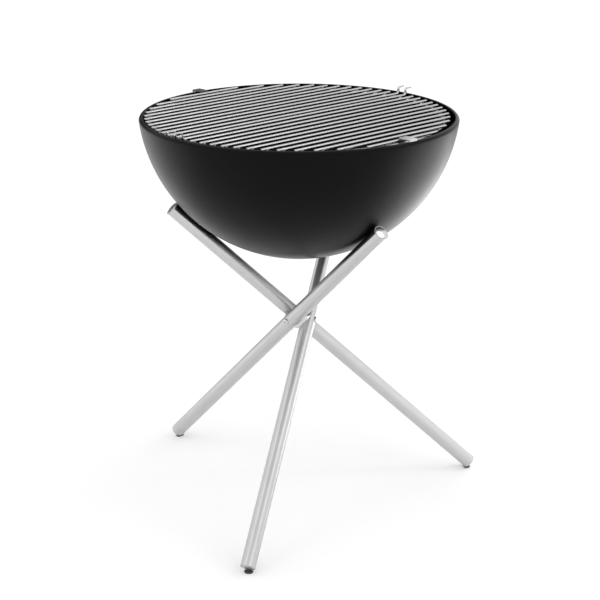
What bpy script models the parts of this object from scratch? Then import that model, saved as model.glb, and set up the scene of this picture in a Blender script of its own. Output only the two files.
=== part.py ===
"""Charcoal fire bowl with a lift-off cooking grate, cradled on a tripod of three crossed tubes.

A pressed steel bowl rests on the flanks of three straight tubes. The tubes pass each other in the
slanting grooves of one small hub, and one screw holds each of them there. Each tube has a cap at
both ends and a rubber foot. A grate of parallel rods, welded on a hoop, hangs on the bowl's lip by
two cranked tabs and is lifted by the hooked ends of its two middle rods. Units are metres, +Z is
up, and the feet stand on z = 0.
"""

import math

import bmesh
import bpy
from mathutils import Matrix, Vector

# General
GAP = 0.0003                        # clearance between pieces that touch
MERGE = 0.00001                     # merge distance of turned shapes

# Tripod: three tubes, each at the same slope and the same distance from the upright axis
TUBE_RADIUS = 0.01345               # 26.9 mm outside diameter
TUBE_WALL = 0.0015
TUBE_LENGTH = 0.8032
TUBE_ABOVE_HUB = 0.3176             # from the hub's level to the upper end, along the tube
TUBE_TILT = math.radians(46.2)      # from the upright
TUBE_OFFSET = 0.0192                # tube axis to tripod axis, where they pass
LEG_AZIMUTH = math.radians(102.4)   # where the first tube passes the axis
LEG_COUNT = 3
TUBE_FLOOR_CLEARANCE = 0.0015       # below the lowest point of a tube's cut end
TUBE_SIDES = 28

# Hub between the tubes
HUB_RADIUS = 0.026
HUB_HEIGHT = 0.022
HUB_EDGE = 0.001

# Button head screws, M6 x 30
SCREW_RADIUS = 0.003
SCREW_HEAD_RADIUS = 0.006
SCREW_HEAD_HEIGHT = 0.0033
SCREW_SEAT = 0.01255                # flat seat on the tube, from the tube's axis
SCREW_TIP = 0.0024                  # from the tripod axis to the screw's tip
SOCKET_FLATS = 0.004
SOCKET_DEPTH = 0.002
SCREW_SIDES = 16

# Tube ends
PLUG_RADIUS = TUBE_RADIUS - TUBE_WALL - GAP
CAP_DEPTH = 0.010
CAP_EDGE = 0.0008
CAP_DOME = 0.0010
BASE_CAP_PROUD = 0.0004
PEG_RADIUS = 0.002                  # peg that holds the foot in the lower cap
PEG_OFF_AXIS = 0.0066
PEG_DEPTH = 0.012
PAD_RADIUS = 0.0078                 # round pad on the floor, under the tube's end
PAD_HEIGHT = 0.003
PAD_INBOARD = 0.0055                # pad centre, inboard of the tube end's centre
PAD_SIDES = 28
NECK_RADIUS = 0.0026                # joins the pad to the tube's end

# Bowl: a ball's cap with a lip turned inwards
BALL_RADIUS = 0.2870
BOWL_WALL = 0.0025
BALL_CENTRE_ABOVE_LIP = 0.0306
MOUTH_RADIUS = 0.277
LIP_CORNER = 0.005                  # outside radius where the wall turns into the lip
BOWL_STEPS = 56
BOWL_ARC_STEPS = 14

# Grate
ROD_RADIUS = 0.0025
ROD_PITCH = 0.0207
ROD_MIDDLE_GAP = 0.0183             # between the axes of the two hooked rods
RODS_PER_SIDE = 13
ROD_BELOW_LIP = 0.0008              # rod axis below the lip's top
ROD_ENVELOPE = 0.2705               # rod ends lie on this circle
ROD_AZIMUTH = math.radians(43.0)
ROD_SIDES = 10
ROD_END_BEVEL = 0.0008
GRATE_SHIFT = -0.005                # the loose grate lies this far along its rods
HOOP_RADIUS = 0.261
HOOP_WIRE = 0.003
HOOK_BEND_START = 0.2645
HOOK_FOOT_BEND = 0.006
HOOK_HEAD_BEND = 0.0035
HOOK_HEIGHT = 0.0109                # axis of the hook's top above the lip
HOOK_REACH = 0.285
TAB_WIDTH = 0.018
TAB_THICKNESS = 0.0025
TAB_INNER = 0.2580
TAB_OUTER = 0.2825
TAB_TOE = 0.0025                    # length of the step that stands on the lip

# Levels above the floor
TUBE_BELOW_HUB = TUBE_LENGTH - TUBE_ABOVE_HUB
HUB_LEVEL = (TUBE_FLOOR_CLEARANCE + TUBE_RADIUS * math.sin(TUBE_TILT)
             + TUBE_BELOW_HUB * math.cos(TUBE_TILT))
TUBE_TO_BALL = BALL_RADIUS + TUBE_RADIUS + GAP
BALL_LEVEL = HUB_LEVEL + math.sqrt(TUBE_TO_BALL ** 2 - TUBE_OFFSET ** 2) / math.sin(TUBE_TILT)
LIP_LEVEL = BALL_LEVEL - BALL_CENTRE_ABOVE_LIP
ROD_LEVEL = LIP_LEVEL - ROD_BELOW_LIP


def clear_scene():
    """Remove the objects that a new file starts with."""
    for leftover in list(bpy.data.objects):
        bpy.data.objects.remove(leftover, do_unlink=True)


def make_collection(name):
    collection = bpy.data.collections.new(name)
    bpy.context.scene.collection.children.link(collection)
    return collection


def make_material(name, colour, roughness, metallic):
    material = bpy.data.materials.new(name)
    material.use_nodes = True
    shader = material.node_tree.nodes["Principled BSDF"]
    shader.inputs["Base Color"].default_value = (*colour, 1.0)
    shader.inputs["Roughness"].default_value = roughness
    shader.inputs["Metallic"].default_value = metallic
    return material


def make_empty(name, location, parent=None):
    empty = bpy.data.objects.new(name, None)
    empty.location = location
    empty.parent = parent
    PARTS.objects.link(empty)
    return empty


def make_part(name, mesh, material, parent, matrix):
    """Add a mesh as a named part. The matrix is given from the floor point under the bowl."""
    part = bpy.data.objects.new(name, mesh)
    mesh.materials.clear()
    mesh.materials.append(material)
    PARTS.objects.link(part)
    part.parent = parent
    part.matrix_basis = Matrix.Translation(-parent.location) @ matrix
    return part


def make_cutter(name, mesh, matrix):
    """Add a mesh that only cuts or joins other parts. It follows the assembly."""
    cutter = bpy.data.objects.new(name, mesh)
    CUTTERS.objects.link(cutter)
    cutter.parent = ASSEMBLY
    cutter.matrix_basis = matrix
    cutter.hide_render = True
    cutter.display_type = "WIRE"
    return cutter


def smooth(mesh, angle=35.0):
    mesh.shade_smooth()
    mesh.set_sharp_from_angle(angle=math.radians(angle))


def boolean(part, cutter, operation="DIFFERENCE"):
    modifier = part.modifiers.new(cutter.name, "BOOLEAN")
    modifier.operation = operation
    modifier.solver = "EXACT"
    modifier.object = cutter


def profile_mesh(name, points, closed):
    """A turned shape's outline in the XZ plane, as bare edges."""
    vertices = [(radius, 0.0, height) for radius, height in points]
    edges = [(index, index + 1) for index in range(len(points) - 1)]
    if closed:
        edges.append((len(points) - 1, 0))
    mesh = bpy.data.meshes.new(name)
    mesh.from_pydata(vertices, edges, [])
    return mesh


def turn(part, steps):
    """Turn a part's outline about its own Z axis."""
    screw = part.modifiers.new("turn", "SCREW")
    screw.axis = "Z"
    screw.angle = 2.0 * math.pi
    screw.steps = steps
    screw.render_steps = steps
    screw.use_merge_vertices = True
    screw.merge_threshold = MERGE
    screw.use_smooth_shade = True


def cylinder_mesh(name, radius, low, high, sides, bevel=0.0):
    """A cylinder along Z from low to high, with its ends' edges bevelled if asked."""
    mesh = bpy.data.meshes.new(name)
    shape = bmesh.new()
    middle = Matrix.Translation((0.0, 0.0, (low + high) / 2))
    bmesh.ops.create_cone(shape, cap_ends=True, segments=sides, radius1=radius, radius2=radius,
                          depth=high - low, matrix=middle)
    if bevel:
        rims = [edge for edge in shape.edges if abs(edge.verts[0].co.z - edge.verts[1].co.z) < MERGE]
        bmesh.ops.bevel(shape, geom=rims, offset=bevel, segments=1, affect="EDGES", profile=0.5)
    shape.to_mesh(mesh)
    shape.free()
    smooth(mesh)
    return mesh


def arc(centre, radius, start, end, steps):
    """Points along an arc, both ends included. Angles are in degrees from the first axis."""
    points = []
    for index in range(steps + 1):
        angle = math.radians(start + (end - start) * index / steps)
        points.append((centre[0] + radius * math.cos(angle), centre[1] + radius * math.sin(angle)))
    return points


def leg_matrix(index):
    """Frame of one tube: origin where it passes the hub, +X away from the tripod axis, +Z up it."""
    azimuth = LEG_AZIMUTH + index * 2.0 * math.pi / LEG_COUNT
    outward = Vector((math.cos(azimuth), math.sin(azimuth), 0.0))
    around = Vector((-math.sin(azimuth), math.cos(azimuth), 0.0))
    upward = around * math.sin(TUBE_TILT) + Vector((0.0, 0.0, math.cos(TUBE_TILT)))
    across = upward.cross(outward)
    matrix = Matrix((outward, across, upward)).transposed().to_4x4()
    matrix.translation = outward * TUBE_OFFSET + Vector((0.0, 0.0, HUB_LEVEL))
    return matrix


def screw_matrix(index):
    """Frame of one leg screw: origin on the tripod axis at the hub, +Z out through the tube."""
    azimuth = LEG_AZIMUTH + index * 2.0 * math.pi / LEG_COUNT
    matrix = Matrix.Rotation(azimuth, 4, "Z") @ Matrix.Rotation(math.pi / 2, 4, "Y")
    matrix.translation = (0.0, 0.0, HUB_LEVEL)
    return matrix


def build_tube(index):
    """An open tube with a flat screw seat outside and a screw hole through both walls."""
    inner = TUBE_RADIUS - TUBE_WALL
    outline = [(inner, TUBE_ABOVE_HUB), (TUBE_RADIUS, TUBE_ABOVE_HUB),
               (TUBE_RADIUS, -TUBE_BELOW_HUB), (inner, -TUBE_BELOW_HUB)]
    name = "leg_tube_%d" % (index + 1)
    tube = make_part(name, profile_mesh(name, outline, True), STEEL_BRUSHED, TRIPOD, leg_matrix(index))
    turn(tube, TUBE_SIDES)
    hole = cylinder_mesh("screw_hole", SCREW_RADIUS + GAP, 0.0, TUBE_OFFSET + 2 * TUBE_RADIUS,
                         SCREW_SIDES)
    seat = cylinder_mesh("screw_seat", SCREW_HEAD_RADIUS + GAP, TUBE_OFFSET + SCREW_SEAT,
                         TUBE_OFFSET + 2 * TUBE_RADIUS, SCREW_SIDES)
    boolean(tube, make_cutter("%s_hole" % name, hole, screw_matrix(index)))
    boolean(tube, make_cutter("%s_seat" % name, seat, screw_matrix(index)))


def build_end_cap(index):
    """A shallow domed plug pressed into a tube's upper end."""
    base = TUBE_ABOVE_HUB - CAP_DEPTH
    edge = TUBE_ABOVE_HUB + CAP_EDGE
    outline = [(0.0, edge + CAP_DOME), (PLUG_RADIUS * 0.5, edge + CAP_DOME * 0.75),
               (PLUG_RADIUS - CAP_EDGE, edge), (PLUG_RADIUS, TUBE_ABOVE_HUB),
               (PLUG_RADIUS, base), (0.0, base)]
    name = "leg_end_cap_%d" % (index + 1)
    cap = make_part(name, profile_mesh(name, outline, False), STEEL_POLISHED, TRIPOD, leg_matrix(index))
    turn(cap, TUBE_SIDES)


def build_base_cap(index):
    """A flat plug pressed into a tube's lower end, with a hole for the foot's peg."""
    face = -TUBE_BELOW_HUB - BASE_CAP_PROUD
    outline = [(0.0, CAP_DEPTH - TUBE_BELOW_HUB), (PLUG_RADIUS, CAP_DEPTH - TUBE_BELOW_HUB),
               (PLUG_RADIUS, face + CAP_EDGE), (PLUG_RADIUS - CAP_EDGE, face), (0.0, face)]
    name = "leg_base_cap_%d" % (index + 1)
    cap = make_part(name, profile_mesh(name, outline, False), STEEL_POLISHED, TRIPOD, leg_matrix(index))
    turn(cap, TUBE_SIDES)
    hole = cylinder_mesh("peg_hole", PEG_RADIUS + GAP, -TUBE_BELOW_HUB - PEG_DEPTH,
                         PEG_DEPTH - TUBE_BELOW_HUB, SCREW_SIDES)
    boolean(cap, make_cutter("%s_hole" % name, hole, peg_matrix(index)))


def peg_matrix(index):
    """Frame of a foot's peg: parallel to the tube, towards the lowest side of its end."""
    return leg_matrix(index) @ Matrix.Translation((0.0, PEG_OFF_AXIS, 0.0))


def pad_matrix(index):
    """Frame of a foot's round pad: flat on the floor, just inboard of the tube end's centre."""
    frame = leg_matrix(index)
    end = frame @ Vector((0.0, 0.0, -TUBE_BELOW_HUB))
    upward = frame.to_3x3() @ Vector((0.0, 0.0, 1.0))
    inboard = Vector((upward.x, upward.y, 0.0)).normalized() * PAD_INBOARD
    return Matrix.Translation((end.x + inboard.x, end.y + inboard.y, 0.0))


def build_foot(index):
    """A rubber foot: a round pad, a short neck and a peg that is pressed through the lower cap."""
    name = "leg_foot_%d" % (index + 1)
    face = -TUBE_BELOW_HUB - BASE_CAP_PROUD - GAP
    pad = cylinder_mesh(name, PAD_RADIUS, 0.0, PAD_HEIGHT, PAD_SIDES)
    foot = make_part(name, pad, RUBBER, TRIPOD, pad_matrix(index))
    neck = cylinder_mesh("neck", NECK_RADIUS, PAD_HEIGHT / 2, 2 * TUBE_RADIUS, SCREW_SIDES)
    clear = cylinder_mesh("clear", 3 * TUBE_RADIUS, face, 0.0, TUBE_SIDES)
    peg = cylinder_mesh("peg", PEG_RADIUS, face - PEG_RADIUS, PEG_DEPTH - TUBE_BELOW_HUB, SCREW_SIDES)
    boolean(foot, make_cutter("%s_neck" % name, neck, pad_matrix(index)), "UNION")
    boolean(foot, make_cutter("%s_clear" % name, clear, leg_matrix(index)))
    boolean(foot, make_cutter("%s_peg" % name, peg, peg_matrix(index)), "UNION")


def build_hub():
    """The round block between the tubes, with a slanting groove and a tapped hole for each."""
    block = cylinder_mesh("leg_hub", HUB_RADIUS, -HUB_HEIGHT / 2, HUB_HEIGHT / 2, 48, HUB_EDGE)
    hub = make_part("leg_hub", block, STEEL_BRUSHED, TRIPOD, Matrix.Translation((0, 0, HUB_LEVEL)))
    for index in range(LEG_COUNT):
        groove = cylinder_mesh("hub_groove", TUBE_RADIUS + GAP, -2 * HUB_RADIUS, 2 * HUB_RADIUS,
                               TUBE_SIDES)
        hole = cylinder_mesh("hub_hole", SCREW_RADIUS + GAP, 0.0, HUB_RADIUS, SCREW_SIDES)
        boolean(hub, make_cutter("hub_groove_%d" % (index + 1), groove, leg_matrix(index)))
        boolean(hub, make_cutter("hub_hole_%d" % (index + 1), hole, screw_matrix(index)))


def build_screw(index):
    """A button head screw with a hexagon socket."""
    seat = TUBE_OFFSET + SCREW_SEAT + GAP
    top = seat + SCREW_HEAD_HEIGHT
    crown = SOCKET_FLATS * 0.75
    head = [(0.0, top), (crown, top)]
    steps = 4
    for step in range(1, steps + 1):
        angle = math.pi / 2 * step / steps
        head.append((crown + (SCREW_HEAD_RADIUS - crown) * math.sin(angle),
                     seat + 0.0006 + (SCREW_HEAD_HEIGHT - 0.0006) * math.cos(angle)))
    outline = head + [(SCREW_HEAD_RADIUS, seat), (SCREW_RADIUS, seat),
                      (SCREW_RADIUS, SCREW_TIP + 0.0006), (SCREW_RADIUS - 0.0006, SCREW_TIP),
                      (0.0, SCREW_TIP)]
    name = "leg_screw_%d" % (index + 1)
    screw = make_part(name, profile_mesh(name, outline, False), STEEL_POLISHED, TRIPOD,
                      screw_matrix(index))
    turn(screw, SCREW_SIDES)
    socket = cylinder_mesh("hex_socket", SOCKET_FLATS / math.sqrt(3), top - SOCKET_DEPTH,
                           top + SOCKET_DEPTH, 6)
    boolean(screw, make_cutter("%s_socket" % name, socket, screw_matrix(index)))


def bowl_outline():
    """Inner wall from the bottom up, over the turned-in lip, and down the outside."""
    inner_radius = BALL_RADIUS - BOWL_WALL
    corner_centre_height = -BALL_CENTRE_ABOVE_LIP - LIP_CORNER
    corner_reach = math.sqrt((BALL_RADIUS - LIP_CORNER) ** 2 - corner_centre_height ** 2)
    corner = (corner_reach, corner_centre_height)
    wall_angle = math.degrees(math.atan2(corner_centre_height, corner_reach))
    inside = arc((0.0, 0.0), inner_radius, -90.0, wall_angle, BOWL_ARC_STEPS)
    inside_corner = arc(corner, LIP_CORNER - BOWL_WALL, wall_angle, 90.0, 4)
    outside_corner = arc(corner, LIP_CORNER, 90.0, wall_angle, 6)
    outside = arc((0.0, 0.0), BALL_RADIUS, wall_angle, -90.0, BOWL_ARC_STEPS)
    lip_top = -BALL_CENTRE_ABOVE_LIP
    edge = BOWL_WALL * 0.3
    lip_edge = [(MOUTH_RADIUS + edge, lip_top - BOWL_WALL), (MOUTH_RADIUS, lip_top - BOWL_WALL + edge),
                (MOUTH_RADIUS, lip_top - edge), (MOUTH_RADIUS + edge, lip_top)]
    outline = inside + inside_corner[1:] + lip_edge + outside_corner + outside[1:]
    outline[0] = (0.0, -inner_radius)
    outline[-1] = (0.0, -BALL_RADIUS)
    return outline


def build_bowl():
    """The bowl, turned about the upright axis through the ball's centre."""
    mesh = profile_mesh("bowl", bowl_outline(), False)
    bowl = make_part("bowl", mesh, ENAMEL, BOWL_PIVOT, Matrix.Translation((0, 0, BALL_LEVEL)))
    turn(bowl, BOWL_STEPS)


def grate_matrix(across=0.0, level=ROD_LEVEL):
    """Frame of the grate: +X along its rods, +Y across them."""
    turned = Matrix.Rotation(ROD_AZIMUTH, 4, "Z")
    return Matrix.Translation((0.0, 0.0, level)) @ turned @ Matrix.Translation((GRATE_SHIFT, across, 0.0))


def build_plain_rod(name, across):
    """A straight rod, as long as the circle that its ends lie on allows."""
    half = math.sqrt(ROD_ENVELOPE ** 2 - across ** 2)
    mesh = cylinder_mesh(name, ROD_RADIUS, -half, half, ROD_SIDES, ROD_END_BEVEL)
    along = Matrix.Rotation(math.pi / 2, 4, "Y")
    make_part(name, mesh, STEEL_POLISHED, GRATE, grate_matrix(across) @ along)


def hook_points():
    """One hooked end in the rod's upright plane: up from the grate, then out over the lip."""
    rise = HOOK_HEIGHT + ROD_BELOW_LIP
    foot = arc((HOOK_BEND_START, HOOK_FOOT_BEND), HOOK_FOOT_BEND, -90.0, 0.0, 5)
    stem = HOOK_BEND_START + HOOK_FOOT_BEND
    head_low = rise - HOOK_HEAD_BEND
    head = arc((stem + HOOK_HEAD_BEND, head_low), HOOK_HEAD_BEND, 180.0, 90.0, 4)
    return foot[:-1] + [(stem, min(HOOK_FOOT_BEND, head_low))] + head[1:] + [(HOOK_REACH, rise)]


def build_hooked_rod(name, across):
    """A middle rod: its ends are bent up and outwards, and the grate is lifted by them."""
    end = hook_points()
    points = [(-x, z) for x, z in reversed(end)] + end
    curve = bpy.data.curves.new(name, "CURVE")
    curve.dimensions = "3D"
    curve.bevel_depth = ROD_RADIUS
    curve.bevel_resolution = 2
    curve.use_fill_caps = True
    spline = curve.splines.new("POLY")
    spline.points.add(len(points) - 1)
    for point, (x, z) in zip(spline.points, points):
        point.co = (x, 0.0, z, 1.0)
    rod = bpy.data.objects.new(name, curve)
    PARTS.objects.link(rod)
    curve.materials.append(STEEL_POLISHED)
    rod.parent = GRATE
    rod.matrix_basis = Matrix.Translation(-GRATE.location) @ grate_matrix(across)


def build_hoop():
    """The round wire that the rods are welded on."""
    outline = arc((HOOP_RADIUS, 0.0), HOOP_WIRE, 90.0, -270.0, 10)[:-1]
    level = ROD_LEVEL - ROD_RADIUS - HOOP_WIRE - GAP
    hoop = make_part("grate_hoop", profile_mesh("grate_hoop", outline, True), STEEL_POLISHED, GRATE,
                     grate_matrix(0.0, level))
    turn(hoop, BOWL_STEPS)


def build_tab(name, side):
    """A strip over the outermost rod, with a step at its outer end that stands on the lip."""
    over_rod = ROD_RADIUS + GAP
    over_lip = ROD_BELOW_LIP + GAP
    top = over_rod + TAB_THICKNESS
    step = TAB_OUTER - TAB_TOE
    outline = [(TAB_INNER, over_rod), (step, over_rod), (step, over_lip),
               (TAB_OUTER, over_lip), (TAB_OUTER, top), (TAB_INNER, top)]
    shape = bmesh.new()
    ends = []
    for along in (-TAB_WIDTH / 2, TAB_WIDTH / 2):
        ends.append([shape.verts.new((along, side * x, z)) for x, z in outline])
    shape.faces.new(ends[0])
    shape.faces.new(ends[1])
    for index in range(len(outline)):
        following = (index + 1) % len(outline)
        shape.faces.new((ends[0][index], ends[0][following], ends[1][following], ends[1][index]))
    bmesh.ops.recalc_face_normals(shape, faces=shape.faces[:])
    mesh = bpy.data.meshes.new(name)
    shape.to_mesh(mesh)
    shape.free()
    make_part(name, mesh, STEEL_BRUSHED, GRATE, grate_matrix())


def build_tripod():
    build_hub()
    for index in range(LEG_COUNT):
        build_tube(index)
        build_end_cap(index)
        build_base_cap(index)
        build_foot(index)
        build_screw(index)


def build_grate():
    build_hoop()
    for side, word in ((1, "left"), (-1, "right")):
        build_hooked_rod("grate_hooked_rod_%s" % word, side * ROD_MIDDLE_GAP / 2)
        for index in range(1, RODS_PER_SIDE):
            across = ROD_MIDDLE_GAP / 2 + index * ROD_PITCH
            build_plain_rod("grate_rod_%s_%02d" % (word, index), side * across)
        build_tab("grate_tab_%s" % word, side)


def centre_on_footprint():
    """Move the assembly so that the origin is the middle of its box's underside."""
    bpy.context.view_layer.update()
    depsgraph = bpy.context.evaluated_depsgraph_get()
    corners = []
    for part in PARTS.objects:
        if part.type != "EMPTY":
            shown = part.evaluated_get(depsgraph)
            mesh = shown.to_mesh()
            corners += [shown.matrix_world @ vertex.co for vertex in mesh.vertices]
            shown.to_mesh_clear()
    low = [min(corner[axis] for corner in corners) for axis in range(3)]
    high = [max(corner[axis] for corner in corners) for axis in range(3)]
    ASSEMBLY.location = (-(low[0] + high[0]) / 2, -(low[1] + high[1]) / 2, -low[2])
    bpy.context.view_layer.update()


clear_scene()
PARTS = make_collection("fire_bowl_grill")
CUTTERS = make_collection("cutters")
ENAMEL = make_material("black_enamel", (0.018, 0.018, 0.019), 0.42, 0.0)
STEEL_BRUSHED = make_material("brushed_stainless", (0.66, 0.66, 0.65), 0.34, 1.0)
STEEL_POLISHED = make_material("polished_stainless", (0.78, 0.78, 0.77), 0.18, 1.0)
RUBBER = make_material("black_rubber", (0.03, 0.03, 0.03), 0.75, 0.0)
ASSEMBLY = make_empty("assembly", (0.0, 0.0, 0.0))
TRIPOD = make_empty("tripod", (0.0, 0.0, 0.0), ASSEMBLY)
BOWL_PIVOT = make_empty("bowl_pivot", (0.0, 0.0, BALL_LEVEL), ASSEMBLY)
GRATE = make_empty("grate_lift", (0.0, 0.0, LIP_LEVEL), ASSEMBLY)
build_tripod()
build_bowl()
build_grate()
centre_on_footprint()
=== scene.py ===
"""Looks of the fire bowl grill: fine meshes, materials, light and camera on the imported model."""

import math
import random

import bmesh
import bpy
from mathutils import Matrix, Vector, noise


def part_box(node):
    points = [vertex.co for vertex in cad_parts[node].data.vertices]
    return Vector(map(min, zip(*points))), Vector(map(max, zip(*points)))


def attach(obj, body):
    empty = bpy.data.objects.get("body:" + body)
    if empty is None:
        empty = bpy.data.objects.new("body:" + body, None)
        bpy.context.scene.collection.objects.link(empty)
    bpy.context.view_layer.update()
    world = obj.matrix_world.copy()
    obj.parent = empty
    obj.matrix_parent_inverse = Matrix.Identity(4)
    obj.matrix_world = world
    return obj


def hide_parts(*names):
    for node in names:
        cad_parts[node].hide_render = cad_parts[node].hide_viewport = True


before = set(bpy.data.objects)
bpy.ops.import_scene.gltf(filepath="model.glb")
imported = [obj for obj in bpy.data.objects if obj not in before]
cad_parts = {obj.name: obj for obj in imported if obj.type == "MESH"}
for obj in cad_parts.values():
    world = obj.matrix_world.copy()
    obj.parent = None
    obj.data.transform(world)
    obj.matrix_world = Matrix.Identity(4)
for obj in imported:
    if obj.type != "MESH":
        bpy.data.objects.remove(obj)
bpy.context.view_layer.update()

# Where things are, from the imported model
BOWL_LOW, BOWL_HIGH = (Vector(corner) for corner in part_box("bowl"))
HUB_LOW, HUB_HIGH = (Vector(corner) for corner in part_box("leg_hub"))
AXIS_X = (BOWL_LOW.x + BOWL_HIGH.x) / 2
AXIS_Y = (BOWL_LOW.y + BOWL_HIGH.y) / 2
LIP_LEVEL = BOWL_HIGH.z
HUB_LEVEL = (HUB_LOW.z + HUB_HIGH.z) / 2
FLOOR_LEVEL = 0.0

# Tripod
TUBE_RADIUS = 0.01345
TUBE_WALL = 0.0015
TUBE_ABOVE_HUB = 0.3176
TUBE_BELOW_HUB = 0.4856
TUBE_TILT = math.radians(46.2)
TUBE_OFFSET = 0.0192
TUBE_CHAMFER = 0.0003
TUBE_SIDES = 96
TUBE_RINGS = 40                     # rings of faces along a tube
LEG_AZIMUTH = math.radians(102.4)
LEG_COUNT = 3
GAP = 0.0003                        # clearance between neighbouring pieces

# Hub and screws
HUB_RADIUS = 0.026
HUB_HEIGHT = 0.022
HUB_EDGE = 0.0012
HUB_SIDES = 128
SCREW_RADIUS = 0.003
SCREW_HEAD_RADIUS = 0.006
SCREW_HEAD_HEIGHT = 0.0033
SCREW_SEAT = 0.01255
SCREW_TIP = 0.0024
THREAD_PITCH = 0.001
THREAD_DEPTH = 0.0004
SCREW_EDGE = 0.0006                 # height of the head's rim, and the bevel of the tip
SCREW_RIM_BEVEL = 0.0001
SCREW_CROWN_STEPS = 12
SCREW_SIDES = 48
SOCKET_FLATS = 0.004
SOCKET_DEPTH = 0.002
SOCKET_SIDES = 6
CROWN_SHARE = 0.75                  # radius of the flat round the socket, in widths of it

# Caps and feet
PLUG_RADIUS = TUBE_RADIUS - TUBE_WALL - GAP
CAP_DEPTH = 0.010
CAP_EDGE = 0.0008
CAP_DOME = 0.0010
CAP_DOME_STEPS = 6
CAP_SIDES = 72
BASE_CAP_PROUD = 0.0004
PEG_RADIUS = 0.002
PEG_OFF_AXIS = 0.0066
PEG_DEPTH = 0.012
PEG_SIDES = 32
PAD_RADIUS = 0.0078
PAD_HEIGHT = 0.003
PAD_INBOARD = 0.0055
PAD_EDGE = 0.0006
PAD_SIDES = 64
NECK_RADIUS = 0.0026

# Bowl
BALL_RADIUS = 0.2870
BOWL_WALL = 0.0025
BALL_CENTRE_ABOVE_LIP = 0.0306
MOUTH_RADIUS = 0.277
LIP_CORNER = 0.005
LIP_EDGE = BOWL_WALL * 0.35         # rounding of the lip's two inner edges
LIP_INNER_STEPS = 8
LIP_OUTER_STEPS = 14
BOWL_SIDES = 224
BOWL_ARC_STEPS = 72

# Grate
ROD_RADIUS = 0.0025
ROD_PITCH = 0.0207
ROD_MIDDLE_GAP = 0.0183
RODS_PER_SIDE = 13
ROD_BELOW_LIP = 0.0008
ROD_ENVELOPE = 0.2705
ROD_AZIMUTH = math.radians(43.0)
ROD_SIDES = 24
ROD_STEPS = 24                      # rings of faces along a straight rod
ROD_END_BEVEL = 0.0007
ROD_BOW = 0.00012                   # most that a rod is out of straight
BOW_WAVES = 1.7                     # how often it wanders over half its length
BOW_SPREAD = 37.0                   # how unlike two neighbouring rods are
BOW_SEED = 3.1
GRATE_SHIFT = -0.005
HOOP_RADIUS = 0.261
HOOP_WIRE = 0.003
HOOP_SIDES = 240
HOOP_WIRE_SIDES = 24
HOOK_BEND_START = 0.2645
HOOK_FOOT_BEND = 0.006
HOOK_HEAD_BEND = 0.0035
HOOK_HEIGHT = 0.0109
HOOK_REACH = 0.285
HOOK_FOOT_STEPS = 14
HOOK_HEAD_STEPS = 12
TAB_WIDTH = 0.018
TAB_THICKNESS = 0.0025
TAB_INNER = 0.2580
TAB_OUTER = 0.2825
TAB_TOE = 0.0025
TAB_EDGE = 0.0004
TAB_EDGE_STEPS = 3
TAB_SHARP = math.radians(40.0)      # edges sharper than this are rounded

# Weld beads between the rods, the hoop and the tabs
WELD_SIZE = 0.0010
WELD_SPREAD = (0.85, 1.15)          # least and most share of that size
WELD_FLATNESS = 0.55
WELD_BESIDE = ROD_RADIUS * 0.62     # from the rod's middle to the bead's
WELD_RAISED = 0.0003                # above the middle of the gap under the rod
WELD_SEED = 7
WELD_SHAPES = 50.0                  # range of the noise that makes the beads uneven
WELD_UNEVEN = 0.16
WELD_LUMPS = 2.3                    # how fine the unevenness is
WELD_SUBDIVISIONS = 3
TAB_WELDS = 11
TAB_WELD_SPAN = 0.85                # share of the tab's width that they cover
TAB_WELD_SIZE = (0.0013, 0.0008, 0.0007)
TAB_WELD_BESIDE = ROD_RADIUS * 0.6
TAB_WELD_LEVEL = ROD_RADIUS * 0.95

# Mesh detail
CORNER_STEPS = 4                    # faces round a small rounded edge
BEVEL_HALFWAY_IN = 0.35             # middle ring of a rod's bevel: how far in from the end,
BEVEL_HALFWAY_SHORT = 0.3           # and how far short of the full radius, in bevels
SMOOTH_ANGLE = 32.0                 # degrees; edges sharper than this stay sharp
BEAD_SMOOTH_ANGLE = 60.0
AXIS_RADIUS = 1e-7                  # anything nearer the axis is on it

# Camera, set from the bowl's axis and lip
CAMERA_DISTANCE = 2.7252
CAMERA_ABOVE_LIP = 0.5942
CAMERA_PITCH = math.radians(19.11)
CAMERA_YAW = math.radians(-0.044)
CAMERA_ROLL = math.radians(0.091)
CAMERA_LENS = 93.31
CAMERA_SENSOR = 36.0
CAMERA_CLIP_END = 100.0

# Studio
STUDIO_LIGHT = 1.13
STUDIO_DARKNESS = 0.9               # how unlit the dark part is
UNLIT_BEHIND = (0.55, 0.80)         # where it begins and is full, towards the back
UNLIT_BELOW = (0.37, 0.47)          # where it begins to fade and is gone, upwards
UNLIT_LEFT_OF = (0.06, 0.11)        # and the same to the right
FLOOR_RINGS = (0.0, 1.5, 6.0, 30.0)
FLOOR_SIDES = 96
LIGHT_TARGET_HEIGHT = 0.45
LIGHT_DISTANCE = 3.0
# Softboxes, as (name, direction from the target, width and height, power).
SOFTBOXES = (("softbox_right", (0.70, -0.03, 0.71), (0.5, 0.9), 5.0),
             ("softbox_left", (-0.56, -0.245, 0.79), (0.8, 0.8), 3.4),
             ("softbox_front", (0.51, -0.53, 0.68), (0.7, 0.7), 2.4))
# Spots that brighten the floor, as (name, metres right, metres back, power).
FLOOR_WASHES = (("floor_wash_right", 1.5, 0.75, 900.0),
                ("floor_wash_left", -1.7, 0.9, 225.0))
WASH_HEIGHT = 3.0
WASH_ANGLE = math.radians(50.0)
WASH_BLEND = 0.7
WASH_SOURCE = 0.1

BALL_LEVEL = LIP_LEVEL + BALL_CENTRE_ABOVE_LIP
ROD_LEVEL = LIP_LEVEL - ROD_BELOW_LIP
TOP_Z = Vector((0.0, 0.0, 1.0))
OWN_POINT = "own_point"             # name of the attribute that holds a piece's own coordinates
OWN_AXIS = "own_axis"               # and of the one that holds the direction of its own Z axis
MIX_FIRST, MIX_SECOND = 6, 7        # the colour sockets of a Mix node
MIX_RESULT = 2


# ---------------------------------------------------------------- shader helpers

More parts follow.
